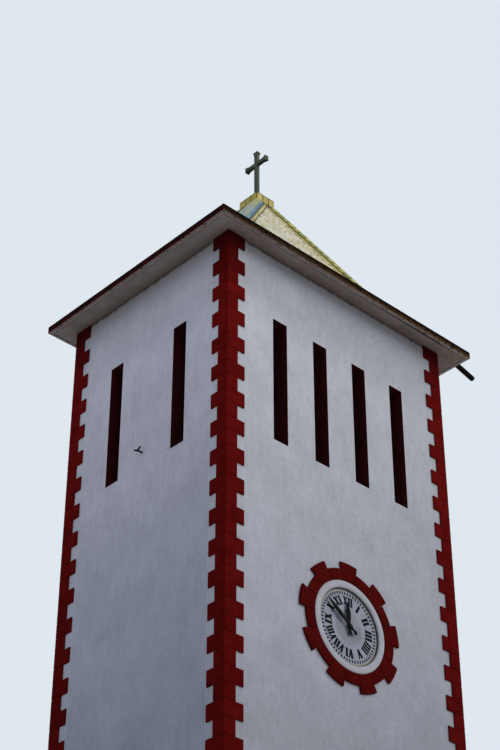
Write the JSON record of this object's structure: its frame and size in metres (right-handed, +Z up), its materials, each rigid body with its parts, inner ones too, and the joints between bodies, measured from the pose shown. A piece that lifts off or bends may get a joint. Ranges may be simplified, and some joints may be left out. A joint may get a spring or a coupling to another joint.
{
  "type": "clock tower",
  "caption": "Square white-rendered clock tower with red corner quoins, slit belfry openings, flat eave slab, tiled hipped roof with a cross, and a round clock with turning hands.",
  "frame": {"origin": "centre of the tower's plan at ground level", "axes": "+Z up, the clock looks towards -Y, +X to the right as seen from the clock side"},
  "size_m": [5.1532, 3.525, 20.105],
  "materials": {
    "limewash": "matte limewash on render, stained under the eaves",
    "red_masonry_paint": "matte dark red masonry paint on render",
    "concrete": "bare weathered concrete with dark mould",
    "broken_tile": "broken glazed tile mosaic with grey grout",
    "yellow_tile": "glazed yellow tile with dark joints",
    "white_enamel": "satin white paint",
    "dial_enamel": "satin white enamel",
    "black_enamel": "black painted sheet",
    "brass": "turned, dull",
    "steel": "turned",
    "painted_iron": "dark green-grey paint, weathered",
    "iron_pipe": "dark, rusted",
    "door_paint": "dark red painted boards"
  },
  "bodies": {
    "tower": {"front_wall": "limewash", "left_wall": "limewash", "right_wall": "limewash", "back_wall_lower": "limewash", "back_wall_upper": "limewash", "front_belfry_piers": "limewash", "front_head_band": "limewash", "back_belfry_piers": "limewash", "back_head_band": "limewash", "left_belfry_piers": "limewash", "left_head_band": "limewash", "right_belfry_piers": "limewash", "right_head_band": "limewash", "front_left_quoins": "red_masonry_paint", "front_right_quoins": "red_masonry_paint", "back_left_quoins": "red_masonry_paint", "back_right_quoins": "red_masonry_paint", "clock_surround": "red_masonry_paint", "ground_floor": "concrete", "belfry_floor": "concrete", "eave_slab": "concrete", "door_sill": "concrete", "pedestal": "yellow_tile", "bezel": "white_enamel", "dial": "dial_enamel", "arbor_bush": "brass", "cross_post": "painted_iron", "cross_arm": "painted_iron", "roof_spout": "iron_pipe", "wall_fork": "iron_pipe", "door_frame": "door_paint", "door_leaf": "door_paint", "front_roof_face": "broken_tile", "back_roof_face": "broken_tile", "left_roof_face": "broken_tile", "right_roof_face": "broken_tile", "front_left_hip_cap": "yellow_tile", "front_right_hip_cap": "yellow_tile", "back_left_hip_cap": "yellow_tile", "back_right_hip_cap": "yellow_tile"},
    "hour_hand": {"hour_pipe": "steel", "hour_hand": "black_enamel"},
    "minute_hand": {"minute_arbor": "steel", "minute_hand": "black_enamel"}
  },
  "joints": [
    {"name": "minute_turn", "type": "hinge", "parent": "tower", "child": "minute_hand", "pos_m": [0.02, -1.5, 11.725], "axis": [0, 1, 0], "continuous": true},
    {"name": "hour_turn", "type": "hinge", "parent": "tower", "child": "hour_hand", "pos_m": [0.02, -1.5, 11.725], "axis": [0, 1, 0], "continuous": true}
  ],
  "couplings": [
    {"joint": "hour_turn", "follows": "minute_turn", "ratio": 0.083333}
  ]
}
